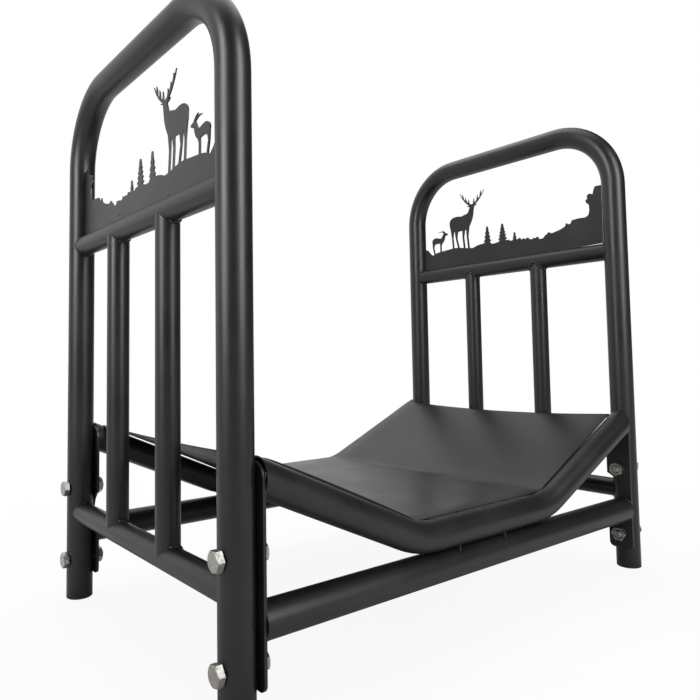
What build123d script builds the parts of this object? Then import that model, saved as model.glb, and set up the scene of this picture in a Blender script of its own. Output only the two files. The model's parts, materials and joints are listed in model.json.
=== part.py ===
"""Firewood rack: two bent-tube end frames with silhouette panels, joined by a bolted-in log cradle.

The origin is on the floor under the middle of the rack. X runs along the rack from the left end
frame to the right one, Y runs from front to rear and Z is up. All sizes are in millimetres.
"""

from build123d import *
from math import atan, atan2, cos, sin, sqrt, tan
import os

os.makedirs("parts", exist_ok=True)

# Round steel tube: outside diameters and walls
LEG_TUBE = 31.75
LEG_WALL = 1.5
RAIL_TUBE = 25.4
BAR_TUBE = 25.0
BAR_WALL = 1.2
CRADLE_TUBE = 32.5
CRADLE_WALL = 1.5

# End frames: one bent hoop each, with two cross rails and two upright bars
FRAME_X = 321.0
LEG_Y = 193.5
HOOP_TOP_Z = 636.0
HOOP_BEND = 90.0
UPPER_RAIL_Z = 448.0
LOWER_RAIL_Z = 107.0
BAR_Y = 65.3
CAP_THICKNESS = 3.0
CAP_EDGE = 1.2
CAP_STEM = 14.0
CAP_STEM_WALL = 2.0

# Cradle: two trough-shaped tubes on two straight base rails, with a bent sheet liner
CRADLE_Y = 196.7
BASE_RAIL_Z = 81.3
CRADLE_FLAT_Z = BASE_RAIL_Z + CRADLE_TUBE
CRADLE_BEND_X = 110.0
CRADLE_END_Z = 200.0
CRADLE_BEND = 105.0
LINER_SHEET = 1.5
LINER_BEND_X = 102.0
LINER_END_X = 291.0
LINER_HALF_WIDTH = 194.0
LINER_BEND_RADIUS = 2.5
LINER_WING_START = 6.0
LINER_SAGS = (3.0, 6.0)  # of the left and the right wing, at their ends

# Brackets that carry the cradle, bolted to the inner side of the legs
BRACKET_WIDTH = 33.0
BRACKET_SHEET = 3.0
BRACKET_BOTTOM_Z = 28.0
BRACKET_TOP_Z = 213.5
BRACKET_TOP_CORNER = 14.0
BRACKET_BOTTOM_CORNER = 7.0
NOTCH_DEPTH = 16.0
NOTCH_RADIUS = 24.5

# M10 hex bolts and nuts, two to a leg
BOLT_HEIGHTS = (48.0, 137.0)
BOLT_SHANK = 10.0
BOLT_LENGTH = 45.0
BOLT_TIP_CHAMFER = 1.0
BOLT_HOLE = 11.0
HEX_FLATS = 17.0
HEX_CHAMFER = 0.8
HEAD_HEIGHT = 6.4
NUT_HEIGHT = 8.4
NUT_BORE = 10.2

# Silhouette panels
PANEL_SHEET = 3.0
PANEL_LENGTH = 350.0
PANEL_GAP = 1.2
GAP_START = 300.0
SIDE_TAB_HEIGHT = 3.0
SIDE_TAB_LEVELS = (14.0, 57.0)

ENDS = (("left", -1), ("right", 1))
SIDES = (("front", -1), ("rear", 1))
BRACKET_X = FRAME_X - LEG_TUBE / 2 - BRACKET_SHEET


def finish(piece, name):
    """Label a finished piece and write it to its own file."""
    piece.part.label = name
    export_step(piece.part, f"parts/{name}.step")


def tube_section(diameter, wall):
    """The ring section of a round tube, in the open sketch."""
    Circle(diameter / 2)
    Circle(diameter / 2 - wall, mode=Mode.SUBTRACT)


def bent_tube(path, diameter, wall):
    """A tube along the path, in the open part."""
    with BuildSketch(Plane(origin=path @ 0, z_dir=path % 0)) as ring:
        tube_section(diameter, wall)
    sweep(sections=ring.sketch, path=path)


def facing_plane(end_sign):
    """The plane of an end frame: its x runs along the panel's picture, its z points inwards."""
    return Plane(origin=(end_sign * FRAME_X, 0, 0), x_dir=(0, -end_sign, 0), z_dir=(-end_sign, 0, 0))


# End hoops: both legs and the top in one tube, drilled for the bracket bolts
for end, sign in ENDS:
    with BuildPart() as hoop:
        with BuildLine(Plane.YZ.offset(sign * FRAME_X)) as centre_line:
            FilletPolyline(
                (-LEG_Y, CAP_THICKNESS),
                (-LEG_Y, HOOP_TOP_Z),
                (LEG_Y, HOOP_TOP_Z),
                (LEG_Y, CAP_THICKNESS),
                radius=HOOP_BEND,
            )
        bent_tube(centre_line.line, LEG_TUBE, LEG_WALL)
        with BuildSketch(Plane.YZ.offset(sign * FRAME_X)):
            with Locations(*[(y * LEG_Y, z) for y in (-1, 1) for z in BOLT_HEIGHTS]):
                Circle(BOLT_HOLE / 2)
        extrude(amount=LEG_TUBE, both=True, mode=Mode.SUBTRACT)
    finish(hoop, f"{end}_hoop")

# Leg caps: moulded plugs with a rounded foot, pressed into the open tube ends
for end, sign in ENDS:
    for side, y_sign in SIDES:
        with BuildPart() as cap:
            with BuildSketch(Plane.XY):
                with Locations((sign * FRAME_X, y_sign * LEG_Y)):
                    Circle(LEG_TUBE / 2)
            extrude(amount=CAP_THICKNESS)
            fillet(cap.faces().sort_by(Axis.Z)[0].edges(), CAP_EDGE)
            with BuildSketch(Plane.XY.offset(CAP_THICKNESS)):
                with Locations((sign * FRAME_X, y_sign * LEG_Y)):
                    Circle(LEG_TUBE / 2 - LEG_WALL)
                    Circle(LEG_TUBE / 2 - LEG_WALL - CAP_STEM_WALL, mode=Mode.SUBTRACT)
            extrude(amount=CAP_STEM)
            chamfer(cap.faces().sort_by(Axis.Z)[-1].outer_wire().edges(), CAP_STEM_WALL / 2)
        finish(cap, f"{end}_{side}_leg_cap")

# Cross rails: straight tubes with saddle-cut ends that fit round the legs
for end, sign in ENDS:
    for level, rail_z in (("upper", UPPER_RAIL_Z), ("lower", LOWER_RAIL_Z)):
        with BuildPart() as rail:
            with BuildSketch(Plane.XZ.offset(-LEG_Y)):
                with Locations((sign * FRAME_X, rail_z)):
                    tube_section(RAIL_TUBE, BAR_WALL)
            extrude(amount=2 * LEG_Y)
            with Locations(*[(sign * FRAME_X, y * LEG_Y, rail_z) for y in (-1, 1)]):
                Cylinder(LEG_TUBE / 2, 2 * RAIL_TUBE, mode=Mode.SUBTRACT)
        finish(rail, f"{end}_{level}_rail")

# Upright bars: saddle-cut at both ends to sit on the cross rails
for end, sign in ENDS:
    for side, y_sign in SIDES:
        with BuildPart() as bar:
            with BuildSketch(Plane.XY.offset(LOWER_RAIL_Z)):
                with Locations((sign * FRAME_X, y_sign * BAR_Y)):
                    tube_section(BAR_TUBE, BAR_WALL)
            extrude(amount=UPPER_RAIL_Z - LOWER_RAIL_Z)
            with Locations(*[(sign * FRAME_X, y_sign * BAR_Y, z) for z in (LOWER_RAIL_Z, UPPER_RAIL_Z)]):
                Cylinder(RAIL_TUBE / 2, 2 * BAR_TUBE, rotation=(90, 0, 0), mode=Mode.SUBTRACT)
        finish(bar, f"{end}_{side}_bar")

# Silhouette panel. Its outline is drawn along the picture from 0 at the young deer's end to
# PANEL_LENGTH at the rock tower, with heights above the top of the upper rail. The ground line
# runs over low rocks, a meadow, shrubs, a rising slope and an upright rock tower.
GROUND = (
    (0, 38), (6, 38), (10, 35), (13, 31), (19, 26), (23, 27), (28, 29), (34, 30), (46, 31),
    (60, 32), (70, 33), (84, 32), (94, 30), (104, 28.5), (113, 27.5), (121, 30), (131, 32),
    (139, 30.5), (152, 29), (160, 29), (166, 30), (186, 31), (191, 28.5), (203, 29.5), (210, 28),
    (222, 27), (232, 25), (240, 26), (246, 23), (252, 23.5), (256, 28), (264, 30), (268, 29),
    (281, 32), (290, 35.5), (292.5, 41), (296, 38), (300, 39), (302, 43.5), (312, 44.5),
    (324, 44), (329, 46.5), (331, 53), (330.5, 62), (326.5, 65.5), (325, 69), (328.5, 72),
    (327.5, 76), (331.5, 79), (337, 77), (338.5, 83), (341, 88), (PANEL_LENGTH, 88),
)
CONIFERS = (
    # place along the ground, height of the ground there, height, width, tiers
    (144, 27.5, 33.5, 18, 5),
    (175, 28, 32.5, 21, 6),
    (198.7, 27, 15, 9, 3),
)
SHRUBS = (
    # place, height of the middle, radius
    (137, 31.0, 2.0), (208, 28.4, 2.4), (216, 26.8, 2.0), (223, 26.6, 2.4), (235, 25.0, 1.8),
    (241, 25.0, 2.4), (262, 28.8, 2.6),
)


def outline(*points):
    """A closed straight-sided shape, in the open sketch."""
    with BuildLine() as edge:
        Polyline(*points, close=True)
    make_face(edge.edges())


def body_shape(*points):
    """A closed smooth shape through the points, in the open sketch."""
    with BuildLine() as edge:
        Spline(*points, periodic=True)
    make_face(edge.edges())


def leg(hip, knee, hoof, thigh, shank):
    """An animal's leg: wide at the hip, narrow from the knee to the hoof."""
    outline(
        (hip[0] - thigh / 2, hip[1]),
        (hip[0] + thigh / 2, hip[1]),
        (knee[0] + shank / 2, knee[1]),
        (hoof[0] + shank / 2, hoof[1]),
        (hoof[0] - shank / 2, hoof[1]),
        (knee[0] - shank / 2, knee[1]),
    )


def horn(root, tip, width, bow):
    """A pointed, gently curved strip that tapers from its root to its tip."""
    along = atan2(tip[1] - root[1], tip[0] - root[0])
    half = (-width / 2 * sin(along), width / 2 * cos(along))
    upper = (root[0] + half[0], root[1] + half[1])
    lower = (root[0] - half[0], root[1] - half[1])
    with BuildLine() as edge:
        SagittaArc(lower, tip, bow)
        SagittaArc(tip, upper, -bow)
        Line(upper, lower)
    make_face(edge.edges())


def conifer(place, ground, height, width, tiers):
    """A fir tree: tiers of drooping branches that narrow towards the top."""
    rise = height / tiers
    right = []
    for tier in range(tiers):
        reach = width / 2 * (1 - tier / tiers) ** 0.8
        right.append((reach, tier * rise + 0.10 * rise))
        right.append((reach * 0.5, tier * rise + 0.85 * rise))
    right_side = [(place + x, ground + y) for x, y in right]
    left_side = [(place - x, ground + y) for x, y in reversed(right)]
    outline(*right_side, (place, ground + height), *left_side)


def stag():
    """A standing stag with its head raised and turned."""
    body_shape(
        (61.8, 77.5), (63.5, 84), (68.5, 87.8), (76, 89.3), (84, 88.6), (90, 88), (96, 89.6),
        (102.5, 91), (106, 95.5), (108.3, 101.5), (111, 105.3), (114.5, 105.3), (117, 102),
        (116.4, 96), (115.2, 88), (113, 80), (109.5, 72.5), (105, 66), (98, 62), (86, 61.5),
        (78, 61), (71, 63), (65.5, 66), (62.6, 71),
    )
    leg((68, 72), (67.8, 52), (69.5, 31), 10, 3.0)
    leg((77, 69), (76.6, 50), (81.5, 31), 9, 3.2)
    leg((94, 68), (92.2, 50), (94.3, 29), 7, 3.2)
    leg((102.5, 70), (101.6, 50), (104, 27.5), 8, 3.2)
    horn((111, 102.5), (100.8, 104.6), 3.8, 0.8)
    horn((114, 102.5), (124, 104.8), 3.8, -0.8)
    horn((111, 103.5), (87, 129.5), 4.2, 2.8)
    horn((114, 103.5), (139.5, 127.5), 4.2, -2.8)
    for root, tip in (
        ((106.5, 107.5), (106.5, 115.5)), ((101, 112), (99.4, 120)), ((94.5, 118), (93.2, 127)),
        ((117.5, 106), (118, 116)), ((125, 111), (126.2, 120)), ((132, 117), (133.4, 126.5)),
    ):
        horn(root, tip, 3.0, 0.6)


def young_deer():
    """A young deer looking the same way, with short swept-back horns."""
    body_shape(
        (19.3, 52.5), (22, 56), (28, 57.6), (35, 56.2), (40.5, 55.5), (44, 59), (46.5, 62.8),
        (49, 64.6), (52.5, 63.4), (56.5, 61.4), (55, 59.4), (51, 58.6), (49.5, 55.3), (47.5, 50.5),
        (44, 46.5), (36, 46), (29, 46.3), (23.5, 45.5), (20, 48),
    )
    leg((22.8, 49), (21.5, 40), (24.8, 27), 6.5, 2.8)
    leg((41.3, 49), (39.3, 41), (39.6, 29), 6, 2.8)
    horn((49.5, 63.4), (33, 67), 2.6, -2.0)
    horn((50, 63.4), (41.5, 70.3), 2.6, -1.0)


for end, sign in ENDS:
    with BuildPart() as panel:
        rail_top = UPPER_RAIL_Z + RAIL_TUBE / 2
        side_gap = LEG_Y - LEG_TUBE / 2 - PANEL_LENGTH / 2
        picture = facing_plane(sign)
        picture.origin = picture.from_local_coords((-PANEL_LENGTH / 2, rail_top, 0))
        with BuildSketch(picture):
            outline((0, 0), *GROUND, (PANEL_LENGTH, PANEL_GAP), (GAP_START, 0))
            stag()
            young_deer()
            for tree in CONIFERS:
                conifer(*tree)
            for place, middle, radius in SHRUBS:
                with Locations((place, middle)):
                    Circle(radius)
            with Locations(*zip((0, PANEL_LENGTH), SIDE_TAB_LEVELS)):
                Rectangle(2 * side_gap, SIDE_TAB_HEIGHT)
        extrude(amount=PANEL_SHEET / 2, both=True)
    finish(panel, f"{end}_panel")

# Brackets: flat straps against the inner side of each leg, with a round notch at the cross rail
for end, sign in ENDS:
    for side, y_sign in SIDES:
        middle_y = -sign * y_sign * LEG_Y
        notch_y = middle_y + sign * y_sign * (BRACKET_WIDTH / 2 - NOTCH_DEPTH + NOTCH_RADIUS)
        with BuildPart() as bracket:
            with BuildSketch(facing_plane(sign).offset(LEG_TUBE / 2)) as strap:
                with Locations((middle_y, (BRACKET_TOP_Z + BRACKET_BOTTOM_Z) / 2)):
                    Rectangle(BRACKET_WIDTH, BRACKET_TOP_Z - BRACKET_BOTTOM_Z)
                fillet(strap.vertices().group_by(Axis.Y)[-1], BRACKET_TOP_CORNER)
                fillet(strap.vertices().group_by(Axis.Y)[0], BRACKET_BOTTOM_CORNER)
                with Locations((notch_y, LOWER_RAIL_Z)):
                    Circle(NOTCH_RADIUS, mode=Mode.SUBTRACT)
                with Locations(*[(middle_y, z) for z in BOLT_HEIGHTS]):
                    Circle(BOLT_HOLE / 2, mode=Mode.SUBTRACT)
            extrude(amount=BRACKET_SHEET)
        finish(bracket, f"{end}_{side}_bracket")

# Base rails: straight tubes, cut square, between the brackets
for side, y_sign in SIDES:
    with BuildPart() as base_rail:
        with BuildSketch(Plane.YZ.offset(-BRACKET_X)):
            with Locations((y_sign * CRADLE_Y, BASE_RAIL_Z)):
                tube_section(CRADLE_TUBE, CRADLE_WALL)
        extrude(amount=2 * BRACKET_X)
    finish(base_rail, f"{side}_base_rail")

# Cradle tubes: a flat middle on the base rail and two raised wings, their ends cut upright
wing_rise = (CRADLE_END_Z - CRADLE_FLAT_Z) / (BRACKET_X - CRADLE_BEND_X)
overrun = CRADLE_TUBE
for side, y_sign in SIDES:
    with BuildPart() as cradle_tube:
        with BuildLine(Plane.XZ.offset(-y_sign * CRADLE_Y)) as centre_line:
            end_x = BRACKET_X + overrun
            end_z = CRADLE_END_Z + overrun * wing_rise
            FilletPolyline(
                (-end_x, end_z),
                (-CRADLE_BEND_X, CRADLE_FLAT_Z),
                (CRADLE_BEND_X, CRADLE_FLAT_Z),
                (end_x, end_z),
                radius=CRADLE_BEND,
            )
        bent_tube(centre_line.line, CRADLE_TUBE, CRADLE_WALL)
        with Locations((0, y_sign * CRADLE_Y, CRADLE_END_Z)):
            Box(2 * BRACKET_X, 2 * CRADLE_TUBE, 2 * CRADLE_END_Z, mode=Mode.INTERSECT)
    finish(cradle_tube, f"{side}_cradle_tube")

# Liner: one sheet with two sharp bends, laid on the tubes. Its long edges touch the rounded tubes
# only at the bends and the ends, and its wings sag between the tubes towards their ends, so its
# underside is worked out from where those edges meet the tubes.
seat = sqrt((CRADLE_TUBE / 2) ** 2 - (CRADLE_Y - LINER_HALF_WIDTH) ** 2)
crest_radius = CRADLE_BEND - seat
tube_angle = atan(wing_rise)
arc_start_x = CRADLE_BEND_X - CRADLE_BEND * tan(tube_angle / 2)
climb = crest_radius - sqrt(crest_radius**2 - (LINER_BEND_X - arc_start_x) ** 2)
liner_flat_z = CRADLE_FLAT_Z + seat + climb
liner_end_z = CRADLE_END_Z + seat / cos(tube_angle) - (BRACKET_X - LINER_END_X) * wing_rise
liner_rise = (liner_end_z - liner_flat_z) / (LINER_END_X - LINER_BEND_X)
upright_sheet = LINER_SHEET / cos(atan(liner_rise))
wing_start_x = LINER_BEND_X + LINER_WING_START
wing_start_z = liner_flat_z + LINER_WING_START * liner_rise
with BuildPart() as liner:
    with BuildSketch(Plane.XZ.offset(-LINER_HALF_WIDTH)):
        with BuildLine():
            FilletPolyline(
                (-LINER_END_X, liner_end_z),
                (-LINER_BEND_X, liner_flat_z),
                (LINER_BEND_X, liner_flat_z),
                (LINER_END_X, liner_end_z),
                radius=LINER_BEND_RADIUS,
            )
            offset(amount=LINER_SHEET, side=Side.LEFT)
        make_face()
    extrude(amount=2 * LINER_HALF_WIDTH)
    Box(2 * wing_start_x, 2 * LINER_HALF_WIDTH, 2 * liner_end_z, mode=Mode.INTERSECT)
    for sign, sag in zip((-1, 1), LINER_SAGS):
        with BuildSketch(Plane.YZ.offset(sign * wing_start_x)):
            with Locations((0, wing_start_z + upright_sheet / 2)):
                Rectangle(2 * LINER_HALF_WIDTH, upright_sheet)
        with BuildSketch(Plane.YZ.offset(sign * LINER_END_X)):
            with BuildLine():
                under = ThreePointArc(
                    (-LINER_HALF_WIDTH, liner_end_z),
                    (0, liner_end_z - sag),
                    (LINER_HALF_WIDTH, liner_end_z),
                )
                over = ThreePointArc(
                    (-LINER_HALF_WIDTH, liner_end_z + upright_sheet),
                    (0, liner_end_z + upright_sheet - sag),
                    (LINER_HALF_WIDTH, liner_end_z + upright_sheet),
                )
                Line(under @ 0, over @ 0)
                Line(under @ 1, over @ 1)
            make_face()
        loft(ruled=True)
finish(liner, "liner")

# Hex bolts: heads outside the legs, shanks through leg and bracket
for end, sign in ENDS:
    outward = Axis((0, 0, 0), (sign, 0, 0))
    for side, y_sign in SIDES:
        with BuildPart() as bolts:
            under_head = facing_plane(sign).offset(-LEG_TUBE / 2)
            places = [(-sign * y_sign * LEG_Y, z) for z in BOLT_HEIGHTS]
            with BuildSketch(under_head):
                with Locations(*places):
                    RegularPolygon(HEX_FLATS / 2, 6, major_radius=False)
            extrude(amount=-HEAD_HEIGHT)
            with BuildSketch(under_head):
                with Locations(*places):
                    Circle(BOLT_SHANK / 2)
            extrude(amount=BOLT_LENGTH)
            chamfer(bolts.faces().group_by(outward)[-1].edges(), HEX_CHAMFER)
            chamfer(bolts.faces().group_by(outward)[0].edges(), BOLT_TIP_CHAMFER)
        finish(bolts, f"{end}_{side}_bolts")

# Hex nuts on the inner face of the brackets
for end, sign in ENDS:
    inward = Axis((0, 0, 0), (-sign, 0, 0))
    for side, y_sign in SIDES:
        with BuildPart() as nuts:
            with BuildSketch(facing_plane(sign).offset(LEG_TUBE / 2 + BRACKET_SHEET)):
                with Locations(*[(-sign * y_sign * LEG_Y, z) for z in BOLT_HEIGHTS]):
                    RegularPolygon(HEX_FLATS / 2, 6, major_radius=False)
                    Circle(NUT_BORE / 2, mode=Mode.SUBTRACT)
            extrude(amount=NUT_HEIGHT)
            for face in nuts.faces().group_by(inward)[-1]:
                chamfer(face.outer_wire().edges(), HEX_CHAMFER)
        finish(nuts, f"{end}_{side}_nuts")
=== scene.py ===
"""Looks of the firewood rack: powder coat, zinc-plated fasteners, thin sheet, welds and a studio."""

import json
from math import cos, pi, radians, sin, sqrt, tan

import bpy
from mathutils import Matrix, Vector


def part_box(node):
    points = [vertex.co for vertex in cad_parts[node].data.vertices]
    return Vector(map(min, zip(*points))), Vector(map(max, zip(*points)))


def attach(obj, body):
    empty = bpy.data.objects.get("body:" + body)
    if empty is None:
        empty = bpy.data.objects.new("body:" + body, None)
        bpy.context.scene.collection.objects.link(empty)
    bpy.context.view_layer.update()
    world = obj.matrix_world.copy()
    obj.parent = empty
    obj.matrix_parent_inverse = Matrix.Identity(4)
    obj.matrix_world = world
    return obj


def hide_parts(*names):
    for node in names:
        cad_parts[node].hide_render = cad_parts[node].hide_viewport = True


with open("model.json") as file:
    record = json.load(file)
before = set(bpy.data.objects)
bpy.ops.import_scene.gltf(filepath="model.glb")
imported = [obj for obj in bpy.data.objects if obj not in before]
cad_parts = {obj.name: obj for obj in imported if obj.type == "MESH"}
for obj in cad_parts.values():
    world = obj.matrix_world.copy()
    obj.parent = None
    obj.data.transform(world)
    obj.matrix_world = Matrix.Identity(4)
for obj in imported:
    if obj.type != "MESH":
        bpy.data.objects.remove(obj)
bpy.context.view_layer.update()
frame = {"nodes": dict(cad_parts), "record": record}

MM = 0.001
ENDS = (("left", -1), ("right", 1))
SIDES = (("front", -1), ("rear", 1))

# Points of a shell that lie closer than this are merged, in millimetres
MERGE_GAP = 0.001

# Fasteners, in millimetres unless they are counts or angles: M10 hex bolts and nuts, with faint
# turned rings on the bolt heads
HEX_FLATS = 17.0
TURNED_FACE = 16.2
HEAD_HEIGHT = 6.4
HEX_SLOPE = radians(30)
RING_COUNT = 6
RING_STEP = 1.0
RING_DEPTH = 0.06
SHANK = 9.9
BOLT_LENGTH = 45.0
SHANK_OVERLAP = 0.3
THREAD_PITCH = 1.5
THREAD_DEPTH = 0.92
THREAD_TURNS = 9
SPARE_TURNS = 3
THREAD_STEPS = 32
BOLT_TIP = 7.6
NUT_HEIGHT = 8.4
NUT_BORE = 10.3
NUT_MOUTH = 11.6
ROUND_STEPS = 96
SHARP_ANGLE = radians(28)

# Turn of each bolt head and nut about its axis, in degrees, lower one first. At 0 two corners
# point to the front and the rear.
BOLT_TURNS = {
    "left_front": (-10, -4), "left_rear": (20, 0), "right_front": (12, 35), "right_rear": (50, -20),
}
NUT_TURNS = {
    "left_front": (30, 26), "left_rear": (8, 30), "right_front": (0, 40), "right_rear": (15, 30),
}

# Frame and cradle tubes that the welds follow, in millimetres
FRAME_X = 321.0
LEG_Y = 193.5
LEG_RADIUS = 15.875
RAIL_RADIUS = 12.7
BAR_RADIUS = 12.5
RAIL_LEVELS = (107.0, 448.0)
BAR_Y = 65.3
BRACKET_X = 302.125
BRACKET_HALF = 16.5
BRACKET_TOP = 213.5
NOTCH_Y = 168.5
NOTCH_Z = 107.0
NOTCH_RADIUS = 24.5
CRADLE_Y = 196.7
CRADLE_RADIUS = 16.25
BASE_RAIL_Z = 81.3
CRADLE_FLAT_Z = BASE_RAIL_Z + 2 * CRADLE_RADIUS
CRADLE_BEND_X = 110.0
CRADLE_END_Z = 200.0
CRADLE_SLOPE = (CRADLE_END_Z - CRADLE_FLAT_Z) / (BRACKET_X - CRADLE_BEND_X)

# Liner sheet, in millimetres: how far each wing bows up between its fold and its end, how far its
# end sags between the tubes, and how far the right wing's end lies to the rear
LINER_SHEET = 1.5
LINER_HALF_WIDTH = 194.0
LINER_END_X = 291.0
LINER_TOP_Z = 131.6
FOLD_START_X = 101.0
FOLD_END_X = 113.0
LEFT_BOW = 1.8
RIGHT_BOW = 0.5
LEFT_SAG = 3.0
RIGHT_SAG = 6.0
RIGHT_SKEW = 5.0
LINER_EDGE = 0.12

# How finely the liner is divided across the rack and along each wing
LINER_ROWS = 16
WING_STEPS = 30

# Silhouette panels, in millimetres: the sheet of the solid, the thinner one that is seen, and how
# far each panel sits from its solid along X, Y and Z
SOLID_PANEL_SHEET = 3.0
PANEL_SHEET = 1.5
PANEL_SHIFTS = {"left": (-1.0, 0.0, -3.4), "right": (0.0, 0.0, 0.0)}

# Weld beads, in millimetres. They sink into the strap and keep off its edges and its notch.
BEAD_RADIUS = 1.5
BAR_BEAD_RADIUS = 2.4
BEAD_RIPPLE = 2.4
BEAD_STEP = 0.6
BEAD_SINK = 0.3
STRAP_SIDE_MARGIN = 0.5
STRAP_TOP_MARGIN = 1.0
NOTCH_MARGIN = 1.0

# How far round the rail and bar seams run to both sides of the inner side, where the strap seams
# start, in degrees, and the number of points up to which a run of strap seam is left out
RAIL_SEAM_REACH = 100
BAR_SEAM_REACH = 110
STRAP_SEAM_START = 100
SKIPPED_POINTS = 6

# Tack welds, in millimetres: between cradle tube and base rail, at the brackets and on the panels
RAIL_TACKS_X = (-58.3, 19.0)
RAIL_TACK_REACH = 11.0
RAIL_TACK_HALF = 4.8
RAIL_TACK_RADIUS = 1.3
STRAP_TACK_X = BRACKET_X + 0.4
STRAP_TACK_Z = 203.0
STRAP_TACK_HALF = 3.0
STRAP_TACK_RADIUS = 1.4
PANEL_TACKS = ((70.0, 463.0), (-60.0, 467.0))
PANEL_TACK_HALF = 1.2
PANEL_TACK_RADIUS = 0.9

# The studio camera, in metres and degrees
CAMERA_PLACE = Vector((-0.6027, -0.6634, 0.2996))
CAMERA_TURN = 37.84
CAMERA_RISE = 3.43
CAMERA_ROLL = -0.81
LENS = 33.44
SHIFT_X = 0.0527
SHIFT_Y = -0.0455

# The studio. The seen floor is mostly glow near the rack and all glow farther out, in metres off
# the origin. The backdrop's strength rises from dim to full as a reflection turns to the rear.
GLOW_SHARE = 0.92
FADE_START = 0.5
FADE_END = 1.1
REARWARDS = (-0.035, 0.999, 0)
BACKDROP_START = 0.3
BACKDROP_END = 0.75
BACKDROP_DIM = 0.08
ROOM_STRENGTH = 0.6

# Two tall strip lamps draw the bright lines along the upright tubes: name, place and watts
STRIP_LAMPS = (("left_strip", (-1.82, -0.14, 1.3), 38), ("right_strip", (0.09, -1.63, 1.3), 36))
STRIP_TARGET = (-0.32, -0.19, 1.3)
STRIP_WIDTH = 0.7
STRIP_HEIGHT = 1.7


def linear(hex_colour):
    """A linear colour from an sRGB hex value such as '3a3a3a'."""
    channels = [int(hex_colour[i:i + 2], 16) / 255 for i in (0, 2, 4)]
    return [c / 12.92 if c <= 0.04045 else ((c + 0.055) / 1.055) ** 2.4 for c in channels] + [1.0]


def add(tree, kind, settings=None, links=None):
    """Add a node, set its properties and unlinked sockets, and link its other inputs."""
    node = tree.nodes.new(kind)
    for name, value in (settings or {}).items():
        if isinstance(name, int) or name in node.inputs:
            node.inputs[name].default_value = value
        else:
            setattr(node, name, value)
    for name, source in (links or {}).items():
        tree.links.new(source, node.inputs[name])
    return node


def new_material(name):
    """An empty material and its node tree."""
    material = bpy.data.materials.new(name)
    material.use_nodes = True
    material.node_tree.nodes.clear()
    return material, material.node_tree


def powder_coat(name, dark, light, roughness, peel):
    """Satin black powder coat: soft highlights over fine orange peel, a little cloudy and dusty."""
    material, tree = new_material(name)
    place = add(tree, "ShaderNodeTexCoord").outputs["Object"]
    # Cloudy patches in the film, about 60 mm across
    cloud = add(tree, "ShaderNodeTexNoise", {"Scale": 1 / 0.060, "Detail": 3.0}, {"Vector": place})
    # Orange peel, about 1.2 mm from crest to crest
    peel_noise = add(tree, "ShaderNodeTexNoise", {"Scale": 1 / 0.0012, "Detail": 2.0}, {"Vector": place})
    # Sparse dust nibs less than 1 mm across, at most one to each 9 mm cell
    nibs = add(tree, "ShaderNodeTexVoronoi", {"Scale": 1 / 0.009}, {"Vector": place})
    nib_mask = add(tree, "ShaderNodeMapRange", {1: 0.03, 2: 0.05, 3: 1.0, 4: 0.0},
                   {0: nibs.outputs["Distance"]})
    colour = add(tree, "ShaderNodeValToRGB", links={0: cloud.outputs["Fac"]})
    colour.color_ramp.elements[0].position = 0.35
    colour.color_ramp.elements[0].color = linear(dark)
    colour.color_ramp.elements[1].position = 0.65
    colour.color_ramp.elements[1].color = linear(light)
    rough = add(tree, "ShaderNodeMapRange", {1: 0.3, 2: 0.7, 3: roughness - 0.04, 4: roughness + 0.04},
                {0: cloud.outputs["Fac"]})
    height = add(tree, "ShaderNodeMath", {"operation": "MULTIPLY_ADD", 1: 0.5},
                 {0: nib_mask.outputs[0], 2: peel_noise.outputs["Fac"]})
    bump = add(tree, "ShaderNodeBump", {"Strength": peel, "Distance": 0.00005},
               {"Height": height.outputs[0]})
    shader = add(tree, "ShaderNodeBsdfPrincipled", {"IOR": 1.5}, {
        "Base Color": colour.outputs[0], "Roughness": rough.outputs[0], "Normal": bump.outputs[0],
    })
    add(tree, "ShaderNodeOutputMaterial", links={"Surface": shader.outputs[0]})
    return material


def zinc_plate(name):
    """Bright zinc plating on cold-headed steel: silvery, with patches of haze and fine scratches."""
    material, tree = new_material(name)
    place = add(tree, "ShaderNodeTexCoord").outputs["Object"]
    # Haze in patches, about 3 mm across
    haze = add(tree, "ShaderNodeTexNoise", {"Scale": 1 / 0.003, "Detail": 4.0}, {"Vector": place})
    # Scratches, about 0.4 mm apart
    scratch = add(tree, "ShaderNodeTexNoise", {"Scale": 1 / 0.0004, "Detail": 2.0}, {"Vector": place})
    colour = add(tree, "ShaderNodeValToRGB", links={0: haze.outputs["Fac"]})
    colour.color_ramp.elements[0].position = 0.3
    colour.color_ramp.elements[0].color = linear("989691")
    colour.color_ramp.elements[1].position = 0.7
    colour.color_ramp.elements[1].color = linear("b9b7b2")
    rough = add(tree, "ShaderNodeMapRange", {1: 0.3, 2: 0.7, 3: 0.27, 4: 0.36}, {0: haze.outputs["Fac"]})
    bump = add(tree, "ShaderNodeBump", {"Strength": 0.15, "Distance": 0.00003},
               {"Height": scratch.outputs["Fac"]})
    shader = add(tree, "ShaderNodeBsdfPrincipled", {"Metallic": 1.0}, {
        "Base Color": colour.outputs[0], "Roughness": rough.outputs[0], "Normal": bump.outputs[0],
    })
    add(tree, "ShaderNodeOutputMaterial", links={"Surface": shader.outputs[0]})
    return material


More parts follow.
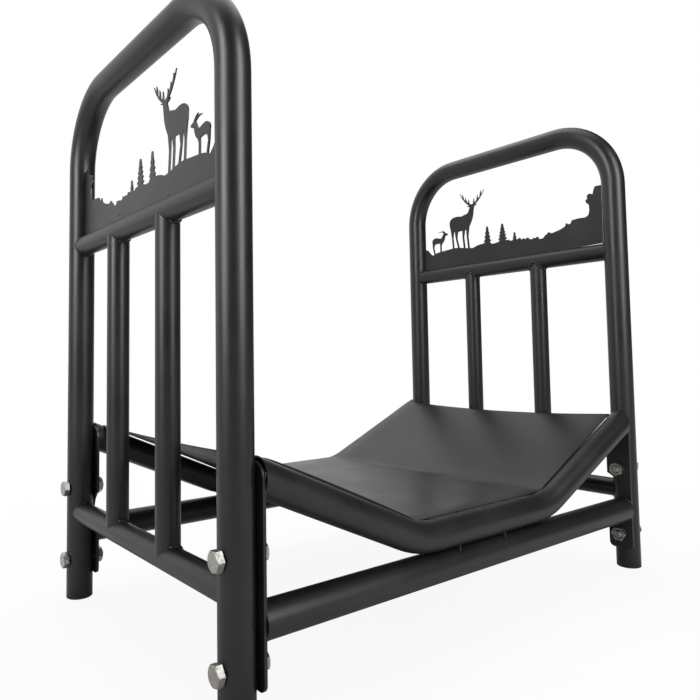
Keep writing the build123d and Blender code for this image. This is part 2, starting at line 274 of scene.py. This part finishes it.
def moulded_polyethylene(name):
    """Black moulded polyethylene: matt, with the fine grain of its mould."""
    material, tree = new_material(name)
    place = add(tree, "ShaderNodeTexCoord").outputs["Object"]
    # Mould grain, about 0.8 mm
    grain = add(tree, "ShaderNodeTexNoise", {"Scale": 1 / 0.0008, "Detail": 3.0}, {"Vector": place})
    colour = add(tree, "ShaderNodeValToRGB", links={0: grain.outputs["Fac"]})
    colour.color_ramp.elements[0].color = linear("161616")
    colour.color_ramp.elements[1].color = linear("242424")
    rough = add(tree, "ShaderNodeMapRange", {3: 0.5, 4: 0.7}, {0: grain.outputs["Fac"]})
    bump = add(tree, "ShaderNodeBump", {"Strength": 0.4, "Distance": 0.00005},
               {"Height": grain.outputs["Fac"]})
    shader = add(tree, "ShaderNodeBsdfPrincipled", {"IOR": 1.51}, {
        "Base Color": colour.outputs[0], "Roughness": rough.outputs[0], "Normal": bump.outputs[0],
    })
    add(tree, "ShaderNodeOutputMaterial", links={"Surface": shader.outputs[0]})
    return material


# Modelling helpers
def deselect():
    """Leave nothing selected."""
    bpy.ops.object.select_all(action="DESELECT")


def open_edit(piece, kind, chosen):
    """Open a piece in edit mode with only the chosen of its vertices or faces selected."""
    deselect()
    bpy.context.view_layer.objects.active = piece
    piece.select_set(True)
    bpy.ops.object.mode_set(mode="EDIT")
    bpy.ops.mesh.select_mode(type=kind)
    bpy.ops.mesh.select_all(action="DESELECT")
    bpy.ops.object.mode_set(mode="OBJECT")
    for element in piece.data.polygons if kind == "FACE" else piece.data.vertices:
        element.select = chosen(element)
    bpy.ops.object.mode_set(mode="EDIT")


def apply_modifiers(piece):
    """Apply every modifier of a piece."""
    bpy.context.view_layer.objects.active = piece
    for modifier in list(piece.modifiers):
        bpy.ops.object.modifier_apply(modifier=modifier.name)


def cut(piece, cutter, operation):
    """Cut a piece by another one, or keep what is inside both, and remove the cutter."""
    boolean = piece.modifiers.new("cut", "BOOLEAN")
    boolean.object = cutter
    boolean.operation = operation
    boolean.solver = "EXACT"
    apply_modifiers(piece)
    bpy.data.objects.remove(cutter)


def join(pieces, name):
    """Join pieces into one and name it."""
    deselect()
    for piece in pieces:
        piece.select_set(True)
    bpy.context.view_layer.objects.active = pieces[0]
    bpy.ops.object.join()
    joined = bpy.context.object
    joined.name = name
    return joined


def shade(piece):
    """Shade a piece smooth up to its sharp edges."""
    deselect()
    piece.select_set(True)
    bpy.context.view_layer.objects.active = piece
    bpy.ops.object.shade_smooth_by_angle(angle=SHARP_ANGLE)


def set_in(piece, material, node=None):
    """Give a piece its finish as its only material, attach it to the root body, and hide the CAD node that
    it stands for, if any.
    """
    piece.data.materials.clear()
    piece.data.materials.append(material)
    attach(piece, "root")
    if node:
        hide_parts(node)


# Bolts and nuts
def round_cutter(low_radius, high_radius, low_z, high_z):
    """A cone or cylinder about Z between two levels."""
    deselect()
    bpy.ops.mesh.primitive_cone_add(
        vertices=ROUND_STEPS, radius1=low_radius, radius2=high_radius, depth=high_z - low_z,
        location=(0, 0, (low_z + high_z) / 2),
    )
    bpy.ops.object.transform_apply()
    return bpy.context.object


def ring_marks(cutter):
    """Sink and raise shallow rings on the round top of a cutter. A bolt head takes them from it."""
    open_edit(cutter, "FACE", lambda face: face.normal.z > 0.99)
    for ring in range(RING_COUNT):
        bpy.ops.mesh.inset(thickness=RING_STEP * MM, depth=(RING_DEPTH if ring % 2 else -RING_DEPTH) * MM)
    bpy.ops.object.mode_set(mode="OBJECT")


def turned_hex(height, both_faces):
    """A hexagon up from the origin, its corners turned to a cone at its top or at both its faces."""
    deselect()
    bpy.ops.mesh.primitive_cylinder_add(
        vertices=6, radius=HEX_FLATS * MM / 2 / cos(pi / 6), depth=height + MM, location=(0, 0, height / 2),
    )
    blank = bpy.context.object
    bpy.ops.object.transform_apply()
    face = TURNED_FACE * MM / 2
    wide = face + (height + MM) / tan(HEX_SLOPE)
    top = round_cutter(wide, face, -MM, height)
    if both_faces:
        cut(blank, top, "INTERSECT")
        cut(blank, round_cutter(face, wide, 0, height + MM), "INTERSECT")
    else:
        ring_marks(top)
        cut(blank, top, "INTERSECT")
        cut(blank, round_cutter(2 * face, 2 * face, 0, height + MM), "INTERSECT")
    return blank


def thread():
    """A helical thread up from the origin, chamfered at its lower end.

    It is wound with spare turns, half of them below the origin, and then cut to length.
    """
    root = SHANK / 2 - THREAD_DEPTH
    deselect()
    bpy.ops.mesh.primitive_circle_add(vertices=4, radius=THREAD_PITCH * MM / 2)
    piece = bpy.context.object
    piece.data.transform(Matrix.Rotation(pi / 2, 4, "X"))
    open_edit(piece, "VERT", lambda point: point.co.x < -THREAD_PITCH * MM / 4)
    bpy.ops.mesh.delete(type="VERT")
    bpy.ops.mesh.select_all(action="SELECT")
    bpy.ops.transform.resize(value=(THREAD_DEPTH / (THREAD_PITCH / 2), 1, 1), center_override=(0, 0, 0))
    bpy.ops.transform.translate(value=(root * MM, 0, 0))
    bpy.ops.object.mode_set(mode="OBJECT")
    screw = piece.modifiers.new("screw", "SCREW")
    screw.axis = "Z"
    screw.screw_offset = THREAD_PITCH * MM
    screw.iterations = THREAD_TURNS + SPARE_TURNS
    screw.steps = screw.render_steps = THREAD_STEPS
    screw.use_merge_vertices = True
    apply_modifiers(piece)
    bpy.ops.object.mode_set(mode="EDIT")
    bpy.ops.mesh.select_all(action="SELECT")
    bpy.ops.mesh.remove_doubles(threshold=0.01 * MM)
    bpy.ops.mesh.select_all(action="DESELECT")
    bpy.ops.mesh.select_non_manifold()
    bpy.ops.mesh.fill()
    bpy.ops.mesh.select_all(action="SELECT")
    bpy.ops.mesh.normals_make_consistent(inside=False)
    bpy.ops.transform.translate(value=(0, 0, -SPARE_TURNS / 2 * THREAD_PITCH * MM))
    bpy.ops.object.mode_set(mode="OBJECT")
    length = THREAD_TURNS * THREAD_PITCH * MM
    tip = BOLT_TIP * MM / 2
    cut(piece, round_cutter(tip, tip + length, 0, length), "INTERSECT")
    return piece


def turned_bolt():
    """A hex bolt about Z: its head stands on the origin and its shank hangs below."""
    bolt = turned_hex(HEAD_HEIGHT * MM, both_faces=False)
    screw = thread()
    screw.data.transform(Matrix.Translation((0, 0, -BOLT_LENGTH * MM)))
    plain = (BOLT_LENGTH - THREAD_TURNS * THREAD_PITCH + SHANK_OVERLAP) * MM
    cut(bolt, round_cutter(SHANK * MM / 2, SHANK * MM / 2, -plain, HEAD_HEIGHT * MM / 2), "UNION")
    cut(bolt, screw, "UNION")
    shade(bolt)
    return bolt


def turned_nut():
    """A hex nut that stands on the origin, with a countersunk mouth at both ends of its bore."""
    height = NUT_HEIGHT * MM
    bore = NUT_BORE * MM / 2
    mouth = NUT_MOUTH * MM / 2
    nut = turned_hex(height, both_faces=True)
    cut(nut, round_cutter(bore, bore, -height, 2 * height), "DIFFERENCE")
    cut(nut, round_cutter(0, mouth + MM, height - mouth, height + MM), "DIFFERENCE")
    cut(nut, round_cutter(mouth + MM, 0, -MM, mouth), "DIFFERENCE")
    shade(nut)
    return nut


def place_fasteners(pattern, kind, seat, outwards, turns, material):
    """Copy a bolt or nut to both its places in every CAD node of its kind.

    It stands on the plane X = seat or -seat, and outwards is 1 away from the rack's middle, else -1.
    """
    for end, sign in ENDS:
        axis = Matrix.Rotation(sign * outwards * pi / 2, 4, "Y")
        for side, _ in SIDES:
            node = f"{end}_{side}_{kind}"
            low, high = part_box(node)
            middle_y = (low[1] + high[1]) / 2
            half = HEX_FLATS * MM / 2
            pair = []
            for height, turn in zip((low[2] + half, high[2] - half), turns[f"{end}_{side}"]):
                copy = pattern.copy()
                copy.data = pattern.data.copy()
                bpy.context.scene.collection.objects.link(copy)
                turned = Matrix.Rotation(sign * outwards * radians(turn), 4, "Z")
                moved = Matrix.Translation((sign * seat * MM, middle_y, height))
                copy.data.transform(moved @ axis @ turned)
                pair.append(copy)
            set_in(join(pair, f"{node}_threaded"), material, node)
    bpy.data.objects.remove(pattern)


# Liner
def liner_height(x, across):
    """Height of the liner's top, x along the rack and across from -1 to 1 between its long edges."""
    fold_width = FOLD_END_X - FOLD_START_X
    into_fold = min(max(abs(x) - FOLD_START_X, 0), fold_width)
    out_on_wing = max(abs(x) - FOLD_END_X, 0)
    share = out_on_wing / (LINER_END_X - FOLD_END_X)
    edge = LINER_TOP_Z + CRADLE_SLOPE * (into_fold**2 / (2 * fold_width) + out_on_wing)
    bow = (RIGHT_BOW if x > 0 else LEFT_BOW) * sqrt(abs(sin(pi * share)))
    sag = (RIGHT_SAG if x > 0 else LEFT_SAG) * share * (1 - across**2)
    return edge + bow - sag


def make_liner(material):
    """The bent sheet on the cradle tubes, its wings sagging between them."""
    fold = [FOLD_START_X + step for step in range(int(FOLD_END_X - FOLD_START_X) + 1)]
    wing_width = LINER_END_X - FOLD_END_X
    wing = [FOLD_END_X + wing_width * step / WING_STEPS for step in range(1, WING_STEPS + 1)]
    stations = [-x for x in reversed(fold + wing)] + [0.0] + fold + wing
    deselect()
    bpy.ops.mesh.primitive_grid_add(x_subdivisions=len(stations) - 1, y_subdivisions=LINER_ROWS, size=2)
    piece = bpy.context.object
    piece.name = "liner_sheet"
    for point in piece.data.vertices:
        x = stations[round((point.co.x + 1) / 2 * (len(stations) - 1))]
        across = point.co.y
        skew = RIGHT_SKEW * max(x - FOLD_END_X, 0) / wing_width
        point.co = (x * MM, (LINER_HALF_WIDTH * across + skew) * MM, liner_height(x, across) * MM)
    solid = piece.modifiers.new("sheet", "SOLIDIFY")
    solid.thickness = LINER_SHEET * MM
    solid.offset = -1
    bevel = piece.modifiers.new("deburred_edges", "BEVEL")
    bevel.width = LINER_EDGE * MM
    bevel.segments = 2
    bevel.limit_method = "ANGLE"
    bevel.angle_limit = radians(60)
    apply_modifiers(piece)
    shade(piece)
    set_in(piece, material, "liner")


# Panels
def make_panel(end, sign, material):
    """The laser-cut sheet of an end frame: a merged copy of its solid, thinned and moved in place."""
    node = f"{end}_panel"
    piece = bpy.data.objects.new(f"{node}_sheet", frame["nodes"][node].data.copy())
    bpy.context.scene.collection.objects.link(piece)
    open_edit(piece, "VERT", lambda point: True)
    bpy.ops.mesh.remove_doubles(threshold=MERGE_GAP * MM)
    bpy.ops.mesh.customdata_custom_splitnormals_clear()
    bpy.ops.transform.resize(value=(PANEL_SHEET / SOLID_PANEL_SHEET, 1, 1),
                             center_override=(sign * FRAME_X * MM, 0, 0))
    bpy.ops.transform.translate(value=[shift * MM for shift in PANEL_SHIFTS[end]])
    bpy.ops.object.mode_set(mode="OBJECT")
    shade(piece)
    set_in(piece, material, node)


# Welds
def bead(points, name, radius=BEAD_RADIUS):
    """A rippled weld bead along points in millimetres, thinner towards its two ends."""
    curve = bpy.data.curves.new(name, "CURVE")
    curve.dimensions = "3D"
    curve.bevel_depth = radius * MM
    curve.bevel_resolution = 2
    curve.use_fill_caps = True
    line = curve.splines.new("POLY")
    line.points.add(len(points) - 1)
    travelled = 0
    for index, place in enumerate(points):
        if index:
            travelled += (Vector(place) - Vector(points[index - 1])).length
        ripple = 0.9 + 0.14 * sin(2 * pi * travelled / BEAD_RIPPLE) + 0.1 * sin(travelled)
        taper = min(1, 0.35 + 0.25 * min(index, len(points) - 1 - index))
        line.points[index].co = (*[c * MM for c in place], 1)
        line.points[index].radius = ripple * taper
    piece = bpy.data.objects.new(name, curve)
    bpy.context.scene.collection.objects.link(piece)
    deselect()
    piece.select_set(True)
    bpy.context.view_layer.objects.active = piece
    bpy.ops.object.convert(target="MESH")
    bpy.ops.object.mode_set(mode="EDIT")
    bpy.ops.mesh.select_all(action="SELECT")
    bpy.ops.mesh.remove_doubles(threshold=MERGE_GAP * MM)
    bpy.ops.mesh.normals_make_consistent(inside=False)
    bpy.ops.object.mode_set(mode="OBJECT")
    bpy.ops.object.shade_smooth()
    return bpy.context.object


def tack(middle, half, radius):
    """A short weld blob that reaches from its middle to both sides by the vector half."""
    return bead([Vector(middle) + Vector(half) * step / 3 for step in range(-3, 4)], "tack", radius)


def arc(start, stop, circle_radius):
    """Angles in radians from start to stop in degrees, about BEAD_STEP apart on the circle."""
    count = max(4, round(radians(abs(stop - start)) * circle_radius / BEAD_STEP))
    return [radians(start + (stop - start) * step / count) for step in range(count + 1)]


def rail_seam(sign, y_sign, rail_z):
    """The inner part of the saddle line where a cross rail meets a leg."""
    points = []
    for angle in arc(-RAIL_SEAM_REACH, RAIL_SEAM_REACH, RAIL_RADIUS):
        inwards = RAIL_RADIUS * cos(angle)
        reach = LEG_Y - sqrt(LEG_RADIUS**2 - inwards**2)
        points.append((sign * (FRAME_X - inwards), y_sign * reach, rail_z + RAIL_RADIUS * sin(angle)))
    return points


def bar_seam(sign, y_sign, rail_z, up):
    """The inner part of the saddle line where a bar meets a cross rail, over it or under it."""
    points = []
    for angle in arc(-BAR_SEAM_REACH, BAR_SEAM_REACH, BAR_RADIUS):
        inwards = BAR_RADIUS * cos(angle)
        z = rail_z + up * sqrt(RAIL_RADIUS**2 - inwards**2)
        points.append((sign * (FRAME_X - inwards), y_sign * BAR_Y + BAR_RADIUS * sin(angle), z))
    return points


def strap_seams(sign, y_sign, middle_z, slope):
    """The lines where a cradle tube or base rail ends on its bracket, as far as the strap reaches."""
    runs = [[]]
    for angle in arc(STRAP_SEAM_START, STRAP_SEAM_START + 360, CRADLE_RADIUS):
        y = CRADLE_Y + CRADLE_RADIUS * cos(angle)
        z = middle_z + CRADLE_RADIUS * sqrt(1 + slope**2) * sin(angle)
        on_strap = y < LEG_Y + BRACKET_HALF - STRAP_SIDE_MARGIN and z < BRACKET_TOP - STRAP_TOP_MARGIN
        in_notch = (y - NOTCH_Y) ** 2 + (z - NOTCH_Z) ** 2 < (NOTCH_RADIUS + NOTCH_MARGIN) ** 2
        if on_strap and not in_notch:
            runs[-1].append((sign * (BRACKET_X - BEAD_SINK), y_sign * y, z))
        elif runs[-1]:
            runs.append([])
    return [run for run in runs if len(run) > SKIPPED_POINTS]


def weld_frames(material):
    """Beads on the inner side of each end frame, where its tubes meet, and tacks on its panel."""
    for end, sign in ENDS:
        beads = []
        for y_sign in (-1, 1):
            for rail_z in RAIL_LEVELS:
                beads.append(bead(rail_seam(sign, y_sign, rail_z), "seam"))
            for rail_z, up in zip(RAIL_LEVELS, (1, -1)):
                beads.append(bead(bar_seam(sign, y_sign, rail_z, up), "seam", BAR_BEAD_RADIUS))
        for along, z in PANEL_TACKS:
            face_x = sign * (FRAME_X + PANEL_SHEET / 2) + PANEL_SHIFTS[end][0]
            beads.append(tack((face_x, sign * along, z), (0, PANEL_TACK_HALF, 0), PANEL_TACK_RADIUS))
        set_in(join(beads, f"{end}_frame_welds"), material)


def weld_cradle(material):
    """Beads where the cradle tubes and base rails meet the brackets, and tacks between the tubes."""
    for side, y_sign in SIDES:
        beads = []
        for _, sign in ENDS:
            for middle_z, slope in ((BASE_RAIL_Z, 0), (CRADLE_END_Z, CRADLE_SLOPE)):
                for run in strap_seams(sign, y_sign, middle_z, slope):
                    beads.append(bead(run, "seam"))
            strap_edge = (sign * STRAP_TACK_X, y_sign * (LEG_Y + BRACKET_HALF), STRAP_TACK_Z)
            beads.append(tack(strap_edge, (0, 0, STRAP_TACK_HALF), STRAP_TACK_RADIUS))
        tack_y = y_sign * (CRADLE_Y + RAIL_TACK_REACH)
        touch_z = BASE_RAIL_Z + CRADLE_RADIUS
        for x in RAIL_TACKS_X:
            beads.append(tack((x, tack_y, touch_z), (0, 0, RAIL_TACK_HALF), RAIL_TACK_RADIUS))
        set_in(join(beads, f"{side}_cradle_welds"), material)


# Studio: floor, white surroundings and soft lamps
def make_studio():
    """A floor that the camera sees fade to pure white, and surroundings that differ by ray.

    The camera sees plain white. Reflections see a backdrop that is white behind the rack and dim in
    front of it. All other light comes from a plain white room.
    """
    bpy.ops.mesh.primitive_plane_add(size=16)
    floor = bpy.context.object
    floor.name = "floor"
    material, tree = new_material("matt_white_floor")
    place = add(tree, "ShaderNodeTexCoord").outputs["Object"]
    distance = add(tree, "ShaderNodeVectorMath", {"operation": "LENGTH"}, {0: place})
    fade = add(tree, "ShaderNodeMapRange", {1: FADE_START, 2: FADE_END, 3: GLOW_SHARE, 4: 1.0},
               {0: distance.outputs["Value"]})
    path = add(tree, "ShaderNodeLightPath")
    bounce = add(tree, "ShaderNodeBsdfDiffuse", {"Color": linear("eeeeee")})
    paint = add(tree, "ShaderNodeBsdfDiffuse", {"Color": linear("fafafa")})
    glow = add(tree, "ShaderNodeEmission", {"Color": linear("ffffff"), "Strength": 1.0})
    seen = add(tree, "ShaderNodeMixShader", links={
        0: fade.outputs[0], 1: paint.outputs[0], 2: glow.outputs[0],
    })
    mix = add(tree, "ShaderNodeMixShader", links={
        0: path.outputs["Is Camera Ray"], 1: bounce.outputs[0], 2: seen.outputs[0],
    })
    add(tree, "ShaderNodeOutputMaterial", links={"Surface": mix.outputs[0]})
    floor.data.materials.append(material)

    world = bpy.data.worlds.new("studio")
    bpy.context.scene.world = world
    world.use_nodes = True
    tree = world.node_tree
    tree.nodes.clear()
    path = add(tree, "ShaderNodeLightPath")
    towards = add(tree, "ShaderNodeTexCoord").outputs["Generated"]
    rearwards = add(tree, "ShaderNodeVectorMath", {"operation": "DOT_PRODUCT", 1: REARWARDS},
                    {0: towards})
    level = add(tree, "ShaderNodeMapRange", {1: BACKDROP_START, 2: BACKDROP_END, 3: BACKDROP_DIM, 4: 1.0},
                {0: rearwards.outputs["Value"]})
    backdrop = add(tree, "ShaderNodeBackground", {"Color": linear("ffffff")},
                   {"Strength": level.outputs[0]})
    room = add(tree, "ShaderNodeBackground", {"Color": linear("ffffff"), "Strength": ROOM_STRENGTH})
    white = add(tree, "ShaderNodeBackground", {"Color": linear("ffffff"), "Strength": 1.0})
    shiny = add(tree, "ShaderNodeMath", {"operation": "MAXIMUM"}, {
        0: path.outputs["Is Glossy Ray"], 1: path.outputs["Is Transmission Ray"],
    })
    lit = add(tree, "ShaderNodeMixShader", links={
        0: shiny.outputs[0], 1: room.outputs[0], 2: backdrop.outputs[0],
    })
    mix = add(tree, "ShaderNodeMixShader", links={
        0: path.outputs["Is Camera Ray"], 1: lit.outputs[0], 2: white.outputs[0],
    })
    add(tree, "ShaderNodeOutputWorld", links={"Surface": mix.outputs[0]})


def soft_lamp(name, place, target, width, height, watts, only_shine=False):
    """A rectangular soft lamp that faces a target. With only_shine it makes nothing but highlights."""
    data = bpy.data.lights.new(name, "AREA")
    data.shape = "RECTANGLE"
    data.size = width
    data.size_y = height
    data.energy = watts
    lamp = bpy.data.objects.new(name, data)
    bpy.context.scene.collection.objects.link(lamp)
    lamp.location = place
    lamp.rotation_euler = (Vector(target) - Vector(place)).to_track_quat("-Z", "Y").to_euler()
    lamp.visible_camera = False
    lamp.visible_diffuse = not only_shine
    return lamp


def pass_over(lamp, piece):
    """Keep a lamp's light off one piece, which it would wash out when seen from behind."""
    spared = bpy.data.collections.new(f"{lamp.name}_passes_over")
    spared.objects.link(piece)
    spared.collection_objects[0].light_linking.link_state = "EXCLUDE"
    lamp.light_linking.receiver_collection = spared


def make_camera():
    """The camera, turned from +Y towards +X, raised and rolled."""
    data = bpy.data.cameras.new("camera")
    data.lens = LENS
    data.sensor_width = 36
    data.shift_x = SHIFT_X
    data.shift_y = SHIFT_Y
    data.clip_start = 0.01
    camera = bpy.data.objects.new("camera", data)
    bpy.context.scene.collection.objects.link(camera)
    turn = Matrix.Rotation(-radians(CAMERA_TURN), 4, "Z")
    rise = Matrix.Rotation(pi / 2 + radians(CAMERA_RISE), 4, "X")
    roll = Matrix.Rotation(radians(CAMERA_ROLL), 4, "Z")
    camera.matrix_world = Matrix.Translation(CAMERA_PLACE) @ turn @ rise @ roll
    bpy.context.scene.camera = camera


# The finish of every slot
FINISHES = {
    "frame_coat": powder_coat("satin_black_powder_coat_frame", "191717", "21201f", 0.38, 0.5),
    "cradle_coat": powder_coat("satin_black_powder_coat_cradle", "1f1d1c", "272524", 0.4, 0.5),
    "panel_coat": powder_coat("satin_black_powder_coat_panel", "1b1a19", "232221", 0.38, 0.4),
    "liner_coat": powder_coat("satin_black_powder_coat_liner", "191918", "21201f", 0.38, 0.4),
    "zinc": zinc_plate("bright_zinc_plate"),
    "cap_plastic": moulded_polyethylene("moulded_black_polyethylene"),
}
for part in frame["record"]["subparts"]:
    node = frame["nodes"][part["node"]]
    node.data.materials.clear()
    node.data.materials.append(FINISHES[part["material_slot"]])

place_fasteners(turned_bolt(), "bolts", FRAME_X + LEG_RADIUS, 1, BOLT_TURNS, FINISHES["zinc"])
place_fasteners(turned_nut(), "nuts", BRACKET_X, -1, NUT_TURNS, FINISHES["zinc"])
make_liner(FINISHES["liner_coat"])
for panel_end, panel_sign in ENDS:
    make_panel(panel_end, panel_sign, FINISHES["panel_coat"])
weld_frames(FINISHES["frame_coat"])
weld_cradle(FINISHES["cradle_coat"])

make_studio()
for strip_name, strip_place, strip_watts in STRIP_LAMPS:
    strip = soft_lamp(strip_name, strip_place, STRIP_TARGET, STRIP_WIDTH, STRIP_HEIGHT, strip_watts,
                      only_shine=True)
    pass_over(strip, bpy.data.objects["liner_sheet"])
soft_lamp("top_softbox", (0.2, 0.6, 2.4), (0, 0, 0.2), 2.0, 2.0, 25)
make_camera()
bpy.context.scene.view_settings.view_transform = "Standard"
